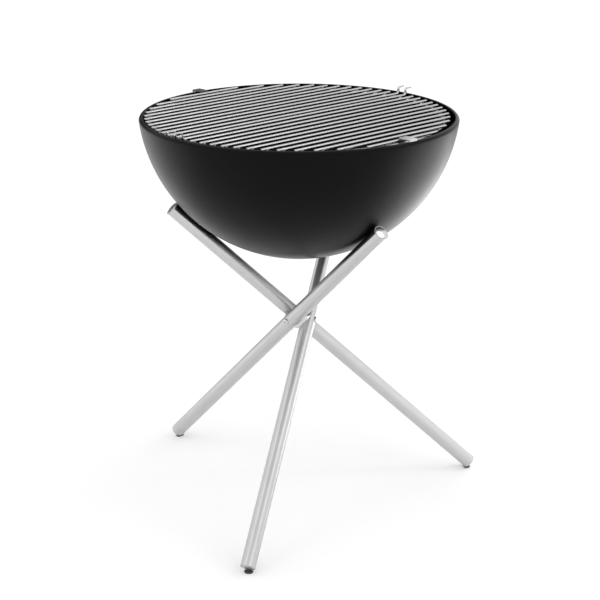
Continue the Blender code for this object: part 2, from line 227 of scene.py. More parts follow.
def new_material(name):
    material = bpy.data.materials.new(name)
    material.use_nodes = True
    return material, material.node_tree, material.node_tree.nodes["Principled BSDF"]


def own_point(tree):
    """The piece's own coordinates in metres, kept from before it was put in place."""
    point = tree.nodes.new("ShaderNodeAttribute")
    point.attribute_type = "GEOMETRY"
    point.attribute_name = OWN_POINT
    return point.outputs["Vector"]


def own_axis(tree):
    """The piece's own Z direction; ground rings round it spread the reflections along it."""
    axis = tree.nodes.new("ShaderNodeAttribute")
    axis.attribute_type = "GEOMETRY"
    axis.attribute_name = OWN_AXIS
    return axis.outputs["Vector"]


def local_point(tree, scale):
    """The piece's own coordinates, times a scale for each axis."""
    mapping = tree.nodes.new("ShaderNodeMapping")
    mapping.inputs["Scale"].default_value = scale
    tree.links.new(own_point(tree), mapping.inputs["Vector"])
    return mapping.outputs["Vector"]


def noise_value(tree, vector, scale, detail=3.0, rough=0.5):
    texture = tree.nodes.new("ShaderNodeTexNoise")
    texture.inputs["Scale"].default_value = scale
    texture.inputs["Detail"].default_value = detail
    texture.inputs["Roughness"].default_value = rough
    tree.links.new(vector, texture.inputs["Vector"])
    return texture.outputs["Fac"]


def mapped(tree, value, low, high, out_low, out_high):
    """The value with low to high stretched to out_low to out_high, held at both ends."""
    node = tree.nodes.new("ShaderNodeMapRange")
    node.inputs["From Min"].default_value = low
    node.inputs["From Max"].default_value = high
    node.inputs["To Min"].default_value = out_low
    node.inputs["To Max"].default_value = out_high
    tree.links.new(value, node.inputs["Value"])
    return node.outputs["Result"]


def maths(tree, operation, first, second):
    node = tree.nodes.new("ShaderNodeMath")
    node.operation = operation
    for socket, value in zip(node.inputs, (first, second)):
        if isinstance(value, (int, float)):
            socket.default_value = value
        else:
            tree.links.new(value, socket)
    return node.outputs["Value"]


def blended(tree, factor, first, second):
    """A colour between two others."""
    node = tree.nodes.new("ShaderNodeMix")
    node.data_type = "RGBA"
    node.clamp_factor = True
    tree.links.new(factor, node.inputs["Factor"])
    for socket, colour in ((node.inputs[MIX_FIRST], first),
                           (node.inputs[MIX_SECOND], second)):
        if isinstance(colour, tuple):
            socket.default_value = (*colour, 1.0)
        else:
            tree.links.new(colour, socket)
    return node.outputs[MIX_RESULT]


def bumped(tree, shader, height, distance, strength):
    node = tree.nodes.new("ShaderNodeBump")
    node.inputs["Distance"].default_value = distance
    node.inputs["Strength"].default_value = strength
    tree.links.new(height, node.inputs["Height"])
    tree.links.new(node.outputs["Normal"], shader.inputs["Normal"])


# ---------------------------------------------------------------- materials

def enamel_material():
    """Satin black enamel with a faint orange peel and a slightly uneven gloss."""
    material, tree, shader = new_material("black_enamel")
    point = local_point(tree, (1.0, 1.0, 1.0))
    peel = noise_value(tree, point, 420.0, 2.0)
    clouds = noise_value(tree, point, 9.0, 3.0)
    fleck = noise_value(tree, point, 1600.0, 1.0)
    colour = blended(tree, mapped(tree, clouds, 0.35, 0.65, 0.0, 1.0),
                     (0.0012, 0.0012, 0.0013), (0.0018, 0.0018, 0.0019))
    colour = blended(tree, mapped(tree, fleck, 0.66, 0.80, 0.0, 0.5), colour, (0.006, 0.006, 0.006))
    tree.links.new(colour, shader.inputs["Base Color"])
    gloss = maths(tree, "ADD", mapped(tree, clouds, 0.3, 0.7, 0.29, 0.34),
                  mapped(tree, peel, 0.3, 0.7, -0.02, 0.02))
    tree.links.new(gloss, shader.inputs["Roughness"])
    shader.inputs["Specular IOR Level"].default_value = 0.085
    bumped(tree, shader, peel, 0.00006, 0.35)
    return material


def tube_material():
    """Stainless tube, ground all round in fine rings, with faint drawing marks along it."""
    material, tree, shader = new_material("brushed_stainless_tube")
    rings = noise_value(tree, local_point(tree, (30.0, 30.0, 2600.0)), 1.0, 4.0, 0.6)
    drawn = noise_value(tree, local_point(tree, (900.0, 900.0, 5.0)), 1.0, 3.0)
    smears = noise_value(tree, local_point(tree, (60.0, 60.0, 14.0)), 1.0, 3.0)
    tint = blended(tree, mapped(tree, rings, 0.3, 0.7, 0.0, 1.0), (0.59, 0.59, 0.59),
                   (0.605, 0.605, 0.603))
    tint = blended(tree, mapped(tree, smears, 0.35, 0.75, 0.0, 0.3), tint, (0.555, 0.555, 0.555))
    tree.links.new(tint, shader.inputs["Base Color"])
    gloss = maths(tree, "ADD", mapped(tree, rings, 0.3, 0.7, 0.31, 0.35),
                  mapped(tree, smears, 0.3, 0.7, -0.02, 0.02))
    tree.links.new(gloss, shader.inputs["Roughness"])
    shader.inputs["Metallic"].default_value = 1.0
    height = maths(tree, "ADD", rings, maths(tree, "MULTIPLY", drawn, 0.5))
    bumped(tree, shader, height, 0.00004, 0.05)
    shader.inputs["Anisotropic"].default_value = 1.0
    tree.links.new(own_axis(tree), shader.inputs["Tangent"])
    return material


def rod_material():
    """Bright drawn rod with lengthwise lines and a little soot in places."""
    material, tree, shader = new_material("bright_drawn_rod")
    lines = noise_value(tree, local_point(tree, (8.0, 1800.0, 1800.0)), 1.0, 3.0)
    patches = noise_value(tree, local_point(tree, (26.0, 26.0, 26.0)), 1.0, 3.0)
    tint = blended(tree, mapped(tree, lines, 0.3, 0.7, 0.0, 1.0), (0.44, 0.44, 0.438),
                   (0.54, 0.54, 0.538))
    tint = blended(tree, mapped(tree, patches, 0.55, 0.80, 0.0, 0.5), tint, (0.40, 0.397, 0.39))
    tree.links.new(tint, shader.inputs["Base Color"])
    gloss = mapped(tree, patches, 0.3, 0.7, 0.20, 0.30)
    tree.links.new(gloss, shader.inputs["Roughness"])
    shader.inputs["Metallic"].default_value = 1.0
    bumped(tree, shader, lines, 0.00003, 0.2)
    return material


def turned_steel_material(name, roughness):
    """Machined stainless: fine rings round the piece's own Z axis."""
    material, tree, shader = new_material(name)
    apart = tree.nodes.new("ShaderNodeSeparateXYZ")
    tree.links.new(own_point(tree), apart.inputs["Vector"])
    flat = maths(tree, "ADD", maths(tree, "POWER", apart.outputs["X"], 2.0),
                 maths(tree, "POWER", apart.outputs["Y"], 2.0))
    radius = maths(tree, "SQRT", flat, 0.0)
    around = tree.nodes.new("ShaderNodeCombineXYZ")
    tree.links.new(maths(tree, "MULTIPLY", radius, 3500.0), around.inputs["X"])
    tree.links.new(maths(tree, "MULTIPLY", apart.outputs["Z"], 2500.0), around.inputs["Y"])
    rings = noise_value(tree, around.outputs["Vector"], 1.0, 3.0)
    tint = blended(tree, mapped(tree, rings, 0.3, 0.7, 0.0, 1.0), (0.54, 0.54, 0.54),
                   (0.64, 0.64, 0.635))
    tree.links.new(tint, shader.inputs["Base Color"])
    gloss = mapped(tree, rings, 0.3, 0.7, roughness - 0.04, roughness + 0.05)
    tree.links.new(gloss, shader.inputs["Roughness"])
    shader.inputs["Metallic"].default_value = 1.0
    bumped(tree, shader, rings, 0.00003, 0.2)
    return material


def tab_material(name, dull, bright):
    """Cold rolled stainless strip, brushed along its length."""
    material, tree, shader = new_material(name)
    lines = noise_value(tree, local_point(tree, (2200.0, 40.0, 300.0)), 1.0, 3.0)
    tint = blended(tree, mapped(tree, lines, 0.3, 0.7, 0.0, 1.0), (dull, dull, dull),
                   (bright, bright, bright * 0.99))
    tree.links.new(tint, shader.inputs["Base Color"])
    tree.links.new(mapped(tree, lines, 0.3, 0.7, 0.38, 0.46), shader.inputs["Roughness"])
    shader.inputs["Metallic"].default_value = 1.0
    bumped(tree, shader, lines, 0.00003, 0.25)
    return material


def weld_material():
    """Weld beads: rippled steel with a straw and blue heat tint in places."""
    material, tree, shader = new_material("weld_bead_steel")
    point = local_point(tree, (1.0, 1.0, 1.0))
    ripple = noise_value(tree, point, 900.0, 3.0)
    heat = noise_value(tree, point, 120.0, 2.0)
    tint = blended(tree, mapped(tree, heat, 0.45, 0.70, 0.0, 0.6), (0.34, 0.34, 0.34),
                   (0.30, 0.25, 0.19))
    tree.links.new(tint, shader.inputs["Base Color"])
    tree.links.new(mapped(tree, ripple, 0.3, 0.7, 0.28, 0.44), shader.inputs["Roughness"])
    shader.inputs["Metallic"].default_value = 1.0
    bumped(tree, shader, ripple, 0.0003, 0.4)
    return material


def rubber_material():
    """Moulded black rubber, matte, with a fine grain and a dusting near the floor."""
    material, tree, shader = new_material("black_rubber")
    point = local_point(tree, (1.0, 1.0, 1.0))
    grain = noise_value(tree, point, 2400.0, 2.0)
    dust = noise_value(tree, point, 300.0, 3.0)
    tint = blended(tree, mapped(tree, dust, 0.5, 0.8, 0.0, 0.4), (0.045, 0.045, 0.045),
                   (0.100, 0.098, 0.094))
    tree.links.new(tint, shader.inputs["Base Color"])
    tree.links.new(mapped(tree, grain, 0.3, 0.7, 0.62, 0.78), shader.inputs["Roughness"])
    shader.inputs["Specular IOR Level"].default_value = 0.35
    bumped(tree, shader, grain, 0.0001, 0.3)
    return material


def floor_material():
    """Plain white studio floor."""
    material, tree, shader = new_material("studio_floor")
    grain = noise_value(tree, local_point(tree, (1.0, 1.0, 1.0)), 3.0, 2.0)
    tint = blended(tree, mapped(tree, grain, 0.3, 0.7, 0.0, 1.0), (0.96, 0.96, 0.96),
                   (0.97, 0.97, 0.97))
    tree.links.new(tint, shader.inputs["Base Color"])
    shader.inputs["Roughness"].default_value = 0.9
    shader.inputs["Specular IOR Level"].default_value = 0.1
    return material


# ---------------------------------------------------------------- mesh helpers

def set_in_place(mesh, matrix):
    """Move a mesh to where it belongs, and keep its own frame for its material."""
    mesh.attributes.new(OWN_POINT, "FLOAT_VECTOR", "POINT")
    mesh.attributes.new(OWN_AXIS, "FLOAT_VECTOR", "POINT")
    along = matrix.to_3x3() @ TOP_Z
    points = mesh.attributes[OWN_POINT].data
    axes = mesh.attributes[OWN_AXIS].data
    for vertex, point, axis in zip(mesh.vertices, points, axes):
        point.vector = vertex.co
        axis.vector = along
    mesh.transform(matrix)


def add_piece(name, mesh, material, matrix, body, slot, *nodes):
    """Put a mesh in place as a piece that rides on a body and stands for its CAD nodes."""
    set_in_place(mesh, matrix)
    mesh.materials.clear()
    mesh.materials.append(material)
    piece = bpy.data.objects.new(name, mesh)
    bpy.context.scene.collection.objects.link(piece)
    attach(piece, body)
    if nodes:
        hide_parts(*nodes)


def finish_mesh(mesh, angle=SMOOTH_ANGLE):
    mesh.shade_smooth()
    mesh.set_sharp_from_angle(angle=math.radians(angle))
    return mesh


def mesh_from(shape, name, angle=SMOOTH_ANGLE):
    """A finished mesh from a bmesh, which is freed."""
    bmesh.ops.recalc_face_normals(shape, faces=shape.faces[:])
    mesh = bpy.data.meshes.new(name)
    shape.to_mesh(mesh)
    shape.free()
    return finish_mesh(mesh, angle)


def arc(centre, radius, start, end, steps):
    """Points along an arc, both ends included. Angles are in degrees from the first axis."""
    points = []
    for index in range(steps + 1):
        angle = math.radians(start + (end - start) * index / steps)
        points.append((centre[0] + radius * math.cos(angle), centre[1] + radius * math.sin(angle)))
    return points


def lathe(name, points, steps, closed=False):
    """A turned mesh about Z from (radius, height) points. A point on the axis becomes a pole."""
    shape = bmesh.new()
    rings = []
    for radius, height in points:
        if radius < AXIS_RADIUS:
            rings.append([shape.verts.new((0.0, 0.0, height))])
            continue
        ring = []
        for step in range(steps):
            angle = 2.0 * math.pi * step / steps
            ring.append(shape.verts.new((radius * math.cos(angle), radius * math.sin(angle),
                                         height)))
        rings.append(ring)
    pairs = list(zip(rings, rings[1:]))
    if closed:
        pairs.append((rings[-1], rings[0]))
    for first, second in pairs:
        for step in range(steps):
            following = (step + 1) % steps
            corners = [first[step % len(first)], first[following % len(first)],
                       second[following % len(second)], second[step % len(second)]]
            unique = list(dict.fromkeys(corners))
            if len(unique) > 2:
                shape.faces.new(unique)
    return mesh_from(shape, name)


def bevelled_end(end, neighbour, radius, bevel):
    """The (centre, radius) stations of a rod's end, from its face inwards."""
    inward = (neighbour - end).normalized() * bevel
    return [(end, radius - bevel),
            (end + inward * BEVEL_HALFWAY_IN, radius - bevel * BEVEL_HALFWAY_SHORT),
            (end + inward, radius)]


def sweep(name, points, radius, sides, end_bevel):
    """A round rod along points in the XZ plane, with bevelled ends."""
    path = [Vector((x, 0.0, z)) for x, z in points]
    stations = bevelled_end(path[0], path[1], radius, end_bevel)
    stations += [(point, radius) for point in path[1:-1]]
    stations += reversed(bevelled_end(path[-1], path[-2], radius, end_bevel))
    side = Vector((0.0, 1.0, 0.0))
    shape = bmesh.new()
    rings = []
    for index, (centre, size) in enumerate(stations):
        previous = stations[max(index - 1, 0)][0]
        following = stations[min(index + 1, len(stations) - 1)][0]
        along = (following - previous).normalized()
        upward = along.cross(side) * -1.0
        ring = []
        for step in range(sides):
            angle = 2.0 * math.pi * step / sides
            ring.append(shape.verts.new(centre + size * (math.cos(angle) * side
                                                         + math.sin(angle) * upward)))
        rings.append(ring)
    for first, second in zip(rings, rings[1:]):
        for step in range(sides):
            following = (step + 1) % sides
            shape.faces.new((first[step], first[following], second[following], second[step]))
    shape.faces.new(rings[0])
    shape.faces.new(rings[-1])
    return mesh_from(shape, name)


def cut(mesh, matrix, cutters):
    """A mesh after Boolean cuts. The matrix places it, and each cutter is (mesh, matrix)."""
    base = bpy.data.objects.new("base", mesh)
    bpy.context.scene.collection.objects.link(base)
    base.matrix_world = matrix
    helpers = []
    for cutter_mesh, cutter_matrix in cutters:
        cutter = bpy.data.objects.new("cutter", cutter_mesh)
        bpy.context.scene.collection.objects.link(cutter)
        cutter.matrix_world = cutter_matrix
        modifier = base.modifiers.new("cut", "BOOLEAN")
        modifier.operation = "DIFFERENCE"
        modifier.solver = "EXACT"
        modifier.object = cutter
        helpers.append(cutter)
    bpy.context.view_layer.update()
    shown = base.evaluated_get(bpy.context.evaluated_depsgraph_get())
    result = bpy.data.meshes.new_from_object(shown)
    result.name = mesh.name
    for leftover in helpers + [base]:
        bpy.data.objects.remove(leftover, do_unlink=True)
    return finish_mesh(result)


# ---------------------------------------------------------------- tripod

def leg_matrix(index):
    """Frame of one tube: origin where it passes the hub, +X away from the tripod axis, +Z up it."""
    azimuth = LEG_AZIMUTH + index * 2.0 * math.pi / LEG_COUNT
    outward = Vector((math.cos(azimuth), math.sin(azimuth), 0.0))
    around = Vector((-math.sin(azimuth), math.cos(azimuth), 0.0))
    upward = around * math.sin(TUBE_TILT) + TOP_Z * math.cos(TUBE_TILT)
    across = upward.cross(outward)
    matrix = Matrix((outward, across, upward)).transposed().to_4x4()
    matrix.translation = outward * TUBE_OFFSET + Vector((AXIS_X, AXIS_Y, HUB_LEVEL))
    return matrix


def screw_matrix(index):
    """Frame of one leg screw: origin on the tripod axis at the hub, +Z out through the tube."""
    azimuth = LEG_AZIMUTH + index * 2.0 * math.pi / LEG_COUNT
    matrix = Matrix.Rotation(azimuth, 4, "Z") @ Matrix.Rotation(math.pi / 2, 4, "Y")
    matrix.translation = (AXIS_X, AXIS_Y, HUB_LEVEL)
    return matrix


def peg_matrix(index):
    """Frame of a foot's peg: parallel to the tube, towards the lowest side of its end."""
    return leg_matrix(index) @ Matrix.Translation((0.0, PEG_OFF_AXIS, 0.0))


def rod_cutter(radius, low, high, sides=SCREW_SIDES):
    """A plain cylinder on the Z axis, to cut with."""
    return lathe("cutter", [(0.0, low), (radius, low), (radius, high), (0.0, high)], sides)


def tube_mesh(index):
    """The tube's walls with broken edges, and its screw hole and seat cut out."""
    inner = TUBE_RADIUS - TUBE_WALL
    low = -TUBE_BELOW_HUB + TUBE_CHAMFER
    high = TUBE_ABOVE_HUB - TUBE_CHAMFER
    points = [(inner + TUBE_CHAMFER, TUBE_ABOVE_HUB), (TUBE_RADIUS - TUBE_CHAMFER, TUBE_ABOVE_HUB)]
    points += [(TUBE_RADIUS, high + (low - high) * step / TUBE_RINGS)
               for step in range(TUBE_RINGS + 1)]
    points += [(TUBE_RADIUS - TUBE_CHAMFER, -TUBE_BELOW_HUB),
               (inner + TUBE_CHAMFER, -TUBE_BELOW_HUB), (inner, low), (inner, high)]
    mesh = lathe("leg_tube_mesh", points, TUBE_SIDES, closed=True)
    hole = rod_cutter(SCREW_RADIUS + GAP, 0.0, TUBE_OFFSET + 2 * TUBE_RADIUS)
    seat = rod_cutter(SCREW_HEAD_RADIUS + GAP, TUBE_OFFSET + SCREW_SEAT,
                      TUBE_OFFSET + 2 * TUBE_RADIUS)
    place = screw_matrix(index)
    return cut(mesh, leg_matrix(index), [(hole, place), (seat, place)])


def end_cap_mesh():
    """An upper cap with a slightly domed face."""
    base = TUBE_ABOVE_HUB - CAP_DEPTH
    edge = TUBE_ABOVE_HUB + CAP_EDGE
    face_radius = PLUG_RADIUS - CAP_EDGE
    points = []
    for step in range(CAP_DOME_STEPS + 1):
        share = step / CAP_DOME_STEPS
        points.append((face_radius * share, edge + CAP_DOME * (1.0 - share * share)))
    points += arc((face_radius, TUBE_ABOVE_HUB), CAP_EDGE, 90.0, 0.0, CORNER_STEPS)[1:]
    points += [(PLUG_RADIUS, base + CAP_EDGE / 2), (PLUG_RADIUS - CAP_EDGE / 2, base), (0.0, base)]
    return lathe("leg_end_cap_mesh", points, CAP_SIDES)


def base_cap_mesh(index):
    """A flat lower cap with a hole for the foot's peg."""
    face = -TUBE_BELOW_HUB - BASE_CAP_PROUD
    top = CAP_DEPTH - TUBE_BELOW_HUB
    edge = CAP_EDGE / 2
    points = [(0.0, top), (PLUG_RADIUS - edge, top), (PLUG_RADIUS, top - edge)]
    points += arc((PLUG_RADIUS - edge, face + edge), edge, 0.0, -90.0, CORNER_STEPS)
    points.append((0.0, face))
    mesh = lathe("leg_base_cap_mesh", points, CAP_SIDES)
    hole = rod_cutter(PEG_RADIUS + GAP, -TUBE_BELOW_HUB - PEG_DEPTH, PEG_DEPTH - TUBE_BELOW_HUB,
                      PEG_SIDES)
    return cut(mesh, leg_matrix(index), [(hole, peg_matrix(index))])


def pad_matrix(index):
    """Frame of a foot's round pad: flat on the floor, just inboard of the tube end's centre."""
    leg = leg_matrix(index)
    end = leg @ Vector((0.0, 0.0, -TUBE_BELOW_HUB))
    upward = leg.to_3x3() @ TOP_Z
    inboard = Vector((upward.x, upward.y, 0.0)).normalized() * PAD_INBOARD
    return Matrix.Translation((end.x + inboard.x, end.y + inboard.y, FLOOR_LEVEL))


def foot_mesh(index):
    """The round pad with softened edges, a neck cut off at the lower cap, and the peg."""
    face = -TUBE_BELOW_HUB - BASE_CAP_PROUD - GAP
    neck_top = 2.0 * TUBE_RADIUS
    points = [(0.0, neck_top), (NECK_RADIUS, neck_top)]
    points += arc((NECK_RADIUS + PAD_EDGE, PAD_HEIGHT + PAD_EDGE), PAD_EDGE, 180.0, 270.0,
                  CORNER_STEPS)
    points += arc((PAD_RADIUS - PAD_EDGE, PAD_HEIGHT - PAD_EDGE), PAD_EDGE, 90.0, 0.0,
                  CORNER_STEPS)
    points += arc((PAD_RADIUS - PAD_EDGE, PAD_EDGE), PAD_EDGE, 0.0, -90.0, CORNER_STEPS)
    points.append((0.0, 0.0))
    pad = lathe("leg_foot_mesh", points, PAD_SIDES)
    clear = rod_cutter(3.0 * TUBE_RADIUS, face, 0.0, PAD_SIDES)
    foot = cut(pad, pad_matrix(index), [(clear, leg_matrix(index))])
    peg_top = PEG_DEPTH - TUBE_BELOW_HUB
    peg = lathe("peg", [(0.0, face), (PEG_RADIUS, face), (PEG_RADIUS, peg_top - PEG_RADIUS / 2),
                        (PEG_RADIUS / 2, peg_top), (0.0, peg_top)], PEG_SIDES)
    peg.transform(pad_matrix(index).inverted() @ peg_matrix(index))
    shape = bmesh.new()
    shape.from_mesh(foot)
    shape.from_mesh(peg)
    shape.to_mesh(foot)
    shape.free()
    return finish_mesh(foot)


def hub_mesh():
    """A turned block with three slanting grooves for the tubes, and the screws' holes."""
    half = HUB_HEIGHT / 2
    inner = HUB_RADIUS - HUB_EDGE
    points = [(0.0, half), (inner, half)]
    points += arc((inner, half - HUB_EDGE), HUB_EDGE, 90.0, 0.0, CORNER_STEPS)[1:]
    points += arc((inner, HUB_EDGE - half), HUB_EDGE, 0.0, -90.0, CORNER_STEPS)
    points.append((0.0, -half))
    mesh = lathe("leg_hub_mesh", points, HUB_SIDES)
    cutters = []
    for index in range(LEG_COUNT):
        cutters.append((rod_cutter(TUBE_RADIUS + GAP, -2 * HUB_RADIUS, 2 * HUB_RADIUS, TUBE_SIDES),
                        leg_matrix(index)))
        cutters.append((rod_cutter(SCREW_RADIUS + GAP, 0.0, HUB_RADIUS), screw_matrix(index)))
    return cut(mesh, Matrix.Translation((AXIS_X, AXIS_Y, HUB_LEVEL)), cutters)


def screw_mesh(index):
    """A button head with a hexagon socket, on a threaded shank."""
    seat = TUBE_OFFSET + SCREW_SEAT + GAP
    top = seat + SCREW_HEAD_HEIGHT
    crown = SOCKET_FLATS * CROWN_SHARE
    rise = SCREW_HEAD_HEIGHT - SCREW_EDGE
    points = [(0.0, top), (crown, top)]
    for step in range(1, SCREW_CROWN_STEPS + 1):
        angle = math.pi / 2 * step / SCREW_CROWN_STEPS
        points.append((crown + (SCREW_HEAD_RADIUS - crown) * math.sin(angle),
                       seat + SCREW_EDGE + rise * math.cos(angle)))
    points += [(SCREW_HEAD_RADIUS, seat + SCREW_RIM_BEVEL),
               (SCREW_HEAD_RADIUS - SCREW_RIM_BEVEL, seat), (SCREW_RADIUS, seat)]
    height = seat - THREAD_PITCH
    while height > SCREW_TIP + 2 * THREAD_PITCH:
        points += [(SCREW_RADIUS, height),
                   (SCREW_RADIUS - THREAD_DEPTH, height - THREAD_PITCH / 2)]
        height -= THREAD_PITCH
    points += [(SCREW_RADIUS, SCREW_TIP + SCREW_EDGE), (SCREW_RADIUS - SCREW_EDGE, SCREW_TIP),
               (0.0, SCREW_TIP)]
    mesh = lathe("leg_screw_mesh", points, SCREW_SIDES)
    socket = rod_cutter(SOCKET_FLATS / math.sqrt(3), top - SOCKET_DEPTH, top + SOCKET_DEPTH,
                        SOCKET_SIDES)
    return cut(mesh, screw_matrix(index), [(socket, screw_matrix(index))])


def build_tripod():
    tube_steel = tube_material()
    cap_steel = turned_steel_material("turned_stainless_cap", 0.22)
    base_steel = turned_steel_material("turned_stainless_base", 0.50)
    hub_steel = turned_steel_material("turned_stainless_hub", 0.30)
    screw_steel = turned_steel_material("stainless_screw", 0.20)
    rubber = rubber_material()
    place = Matrix.Translation((AXIS_X, AXIS_Y, HUB_LEVEL))
    add_piece("tripod_hub", hub_mesh(), hub_steel, place, "tripod", "brushed_stainless", "leg_hub")
    for index in range(LEG_COUNT):
        leg = leg_matrix(index)
        number = index + 1
        add_piece("tripod_tube_%d" % number, tube_mesh(index), tube_steel, leg, "tripod",
                  "brushed_stainless", "leg_tube_%d" % number)
        add_piece("tripod_end_cap_%d" % number, end_cap_mesh(), cap_steel, leg, "tripod",
                  "polished_stainless", "leg_end_cap_%d" % number)
        add_piece("tripod_base_cap_%d" % number, base_cap_mesh(index), base_steel, leg, "tripod",
                  "polished_stainless", "leg_base_cap_%d" % number)
        add_piece("tripod_foot_%d" % number, foot_mesh(index), rubber, pad_matrix(index), "tripod",
                  "black_rubber", "leg_foot_%d" % number)
        add_piece("tripod_screw_%d" % number, screw_mesh(index), screw_steel, screw_matrix(index),
                  "tripod", "polished_stainless", "leg_screw_%d" % number)


# ---------------------------------------------------------------- bowl

def bowl_mesh():
    """Inner wall from the bottom up, over the turned-in lip, and down the outside."""
    inner_radius = BALL_RADIUS - BOWL_WALL
    corner_height = -BALL_CENTRE_ABOVE_LIP - LIP_CORNER
    corner_reach = math.sqrt((BALL_RADIUS - LIP_CORNER) ** 2 - corner_height ** 2)
    corner = (corner_reach, corner_height)
    wall_angle = math.degrees(math.atan2(corner_height, corner_reach))
    inside = arc((0.0, 0.0), inner_radius, -90.0, wall_angle, BOWL_ARC_STEPS)
    inside_corner = arc(corner, LIP_CORNER - BOWL_WALL, wall_angle, 90.0, LIP_INNER_STEPS)
    outside_corner = arc(corner, LIP_CORNER, 90.0, wall_angle, LIP_OUTER_STEPS)
    outside = arc((0.0, 0.0), BALL_RADIUS, wall_angle, -90.0, BOWL_ARC_STEPS)
    lip_top = -BALL_CENTRE_ABOVE_LIP
    lip_edge = arc((MOUTH_RADIUS + LIP_EDGE, lip_top - BOWL_WALL + LIP_EDGE), LIP_EDGE,
                   -90.0, -180.0, CORNER_STEPS)
    lip_edge += arc((MOUTH_RADIUS + LIP_EDGE, lip_top - LIP_EDGE), LIP_EDGE, 180.0, 90.0,
                    CORNER_STEPS)
    points = inside + inside_corner[1:] + lip_edge + outside_corner + outside[1:]
    points[0] = (0.0, -inner_radius)
    points[-1] = (0.0, -BALL_RADIUS)
    return lathe("bowl_mesh", points, BOWL_SIDES)


def build_bowl():
    place = Matrix.Translation((AXIS_X, AXIS_Y, BALL_LEVEL))
    add_piece("fire_bowl", bowl_mesh(), enamel_material(), place, "bowl", "black_enamel", "bowl")


# ---------------------------------------------------------------- grate

def grate_matrix(across=0.0, level=ROD_LEVEL):
    """Frame of the grate: +X along its rods, +Y across them."""
    turned = Matrix.Rotation(ROD_AZIMUTH, 4, "Z")
    return (Matrix.Translation((AXIS_X, AXIS_Y, level)) @ turned
            @ Matrix.Translation((GRATE_SHIFT, across, 0.0)))


def straight_rod_mesh(across):
    """A rod as long as the grate is there, very slightly out of straight."""
    half = math.sqrt(ROD_ENVELOPE ** 2 - across ** 2)
    points = []
    for step in range(ROD_STEPS + 1):
        share = 2.0 * step / ROD_STEPS - 1.0
        wander = noise.noise(Vector((share * BOW_WAVES, across * BOW_SPREAD, BOW_SEED))) * ROD_BOW
        points.append((half * share, wander))
    return sweep("grate_rod_mesh", points, ROD_RADIUS, ROD_SIDES, ROD_END_BEVEL)


def hook_points():
    """One hooked end in the rod's upright plane: up from the grate, then out over the lip."""
    rise = HOOK_HEIGHT + ROD_BELOW_LIP
    foot = arc((HOOK_BEND_START, HOOK_FOOT_BEND), HOOK_FOOT_BEND, -90.0, 0.0,
               HOOK_FOOT_STEPS)
    stem = HOOK_BEND_START + HOOK_FOOT_BEND
    head_low = rise - HOOK_HEAD_BEND
    head = arc((stem + HOOK_HEAD_BEND, head_low), HOOK_HEAD_BEND, 180.0, 90.0,
               HOOK_HEAD_STEPS)
    low = [point for point in foot if point[1] < head_low]
    return low + head + [(HOOK_REACH, rise)]


def hooked_rod_mesh():
    end = hook_points()
    points = [(-x, z) for x, z in reversed(end)] + end
    return sweep("grate_hooked_rod_mesh", points, ROD_RADIUS, ROD_SIDES, ROD_END_BEVEL)


def hoop_mesh():
    outline = arc((HOOP_RADIUS, 0.0), HOOP_WIRE, 90.0, -270.0, HOOP_WIRE_SIDES)[:-1]
    return lathe("grate_hoop_mesh", outline, HOOP_SIDES, closed=True)


def tab_mesh(side):
    """The strip with a step at its outer end, with broken edges."""
    over_rod = ROD_RADIUS + GAP
    over_lip = ROD_BELOW_LIP + GAP
    top = over_rod + TAB_THICKNESS
    step = TAB_OUTER - TAB_TOE
    outline = [(TAB_INNER, over_rod), (step, over_rod), (step, over_lip),
               (TAB_OUTER, over_lip), (TAB_OUTER, top), (TAB_INNER, top)]
    shape = bmesh.new()
    ends = []
    for along in (-TAB_WIDTH / 2, TAB_WIDTH / 2):
        ends.append([shape.verts.new((along, side * x, z)) for x, z in outline])
    shape.faces.new(ends[0])
    shape.faces.new(ends[1])
    for index in range(len(outline)):
        following = (index + 1) % len(outline)
        shape.faces.new((ends[0][index], ends[0][following], ends[1][following], ends[1][index]))
    bmesh.ops.recalc_face_normals(shape, faces=shape.faces[:])
    sharp = [edge for edge in shape.edges if edge.calc_face_angle() > TAB_SHARP]
    bmesh.ops.bevel(shape, geom=sharp, offset=TAB_EDGE, segments=TAB_EDGE_STEPS, affect="EDGES",
                    profile=0.5)
    return mesh_from(shape, "grate_tab_mesh")


def bead(shape, centre, size, seed):
    """One small uneven weld bead."""
    made = bmesh.ops.create_icosphere(shape, subdivisions=WELD_SUBDIVISIONS, radius=1.0)
    for vertex in made["verts"]:
        lump = noise.noise(vertex.co * WELD_LUMPS + Vector((seed, seed * 0.7, 0.0)))
        swell = 1.0 + WELD_UNEVEN * lump
        vertex.co = centre + Vector((vertex.co.x * size[0], vertex.co.y * size[1],
                                     vertex.co.z * size[2])) * swell


def rod_across(side, index):
    """How far to the side a rod lies, counted from the hooked one in the middle."""
    return side * (ROD_MIDDLE_GAP / 2 + index * ROD_PITCH)


def weld_positions():
    """Where the rods cross the hoop, as (along, across) in the grate's frame."""
    places = []
    for side in (-1, 1):
        for index in range(RODS_PER_SIDE):
            across = rod_across(side, index)
            along = math.sqrt(HOOP_RADIUS ** 2 - across ** 2)
            places += [(along, across), (-along, across)]
    return places


